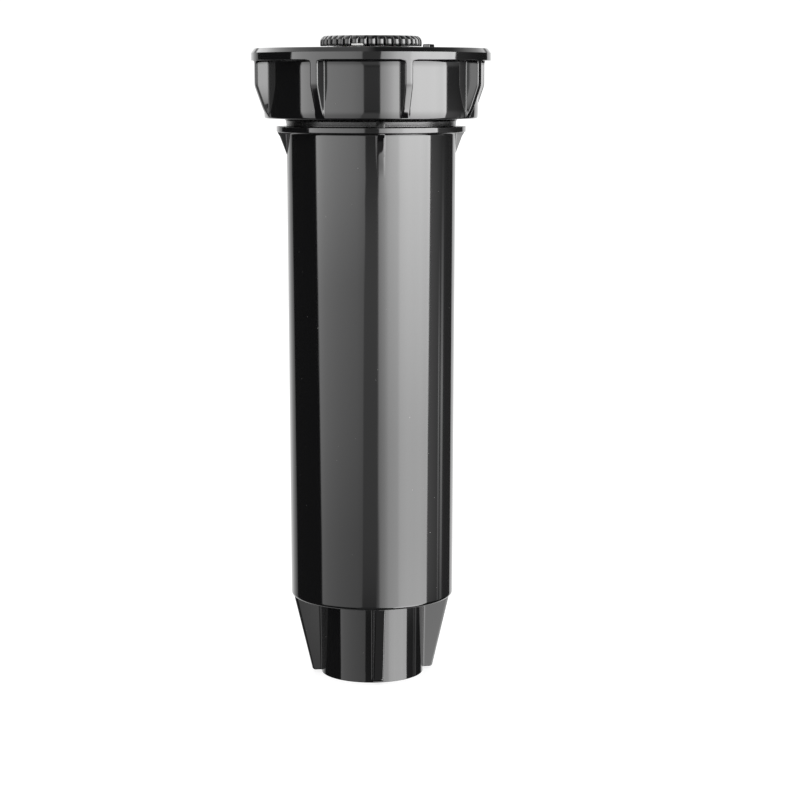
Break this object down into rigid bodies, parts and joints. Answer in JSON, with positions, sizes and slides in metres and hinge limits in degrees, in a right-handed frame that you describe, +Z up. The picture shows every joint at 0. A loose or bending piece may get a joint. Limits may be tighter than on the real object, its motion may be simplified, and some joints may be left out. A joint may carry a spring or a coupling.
{
  "type": "pop up sprinkler",
  "caption": "Spring-retracted pop-up spray head: a tubular case with a threaded bottom inlet, a ribbed screw cap, and a rising tube with an adjustable-arc nozzle.",
  "frame": {"origin": "centre of the inlet boss's bottom face, where the supply pipe ends", "axes": "+Z up along the riser's axis; the case's four fins lie on +X, -X, +Y and -Y, and the stop lug under the cap is on the -Y side"},
  "size_m": [0.0572, 0.0572, 0.1548],
  "materials": {
    "case_plastic": "glossy black moulded plastic",
    "cap_plastic": "glossy black moulded plastic",
    "nozzle_plastic": "satin to glossy black moulded plastic",
    "stem_plastic": "smooth black moulded plastic",
    "nozzle_base_plastic": "satin off-white moulded plastic",
    "pale_acetal": "satin off-white moulded acetal",
    "seal_rubber": "matt black rubber",
    "stainless": "bright stainless steel"
  },
  "bodies": {
    "case_body": {"case": "case_plastic", "cap": "cap_plastic", "wiper_seal": "seal_rubber", "cap_oring": "seal_rubber", "guide_bush": "pale_acetal", "retract_spring": "stainless"},
    "ratchet": {"ratchet_ring": "pale_acetal"},
    "riser": {"riser_stem": "stem_plastic", "valve_carrier": "pale_acetal", "valve_washer": "seal_rubber", "valve_screw": "stainless", "nozzle_gasket": "seal_rubber", "filter_screen": "pale_acetal", "nozzle_base": "nozzle_base_plastic", "deflector": "nozzle_plastic", "screw_oring": "seal_rubber"},
    "collar": {"arc_collar": "nozzle_plastic"},
    "screw": {"adjust_screw": "stainless", "screw_clip": "stainless"},
    "throttle": {"throttle_plug": "pale_acetal"}
  },
  "joints": [
    {"name": "riser_slide", "type": "slide", "parent": "case_body", "child": "ratchet", "axis": [0, 0, 1], "range_m": [0, 0.097], "stiffness_N_per_m": 250, "springref_m": -0.04, "deforming": ["retract_spring"]},
    {"name": "riser_turn", "type": "hinge", "parent": "ratchet", "child": "riser", "pos_m": [0, 0, 0.0216], "axis": [0, 0, 1], "continuous": true},
    {"name": "arc_adjust", "type": "hinge", "parent": "riser", "child": "collar", "pos_m": [0, 0, 0.15235], "axis": [0, 0, 1], "range_deg": [0, 330]},
    {"name": "radius_screw", "type": "hinge", "parent": "riser", "child": "screw", "pos_m": [0, 0, 0.1417], "axis": [0, 0, 1], "range_deg": [0, 1260]},
    {"name": "throttle_lift", "type": "slide", "parent": "riser", "child": "throttle", "axis": [0, 0, 1], "range_m": [0, 0.00245]}
  ],
  "couplings": [
    {"joint": "radius_screw", "follows": "throttle_lift", "rad_per_m": 8976}
  ]
}
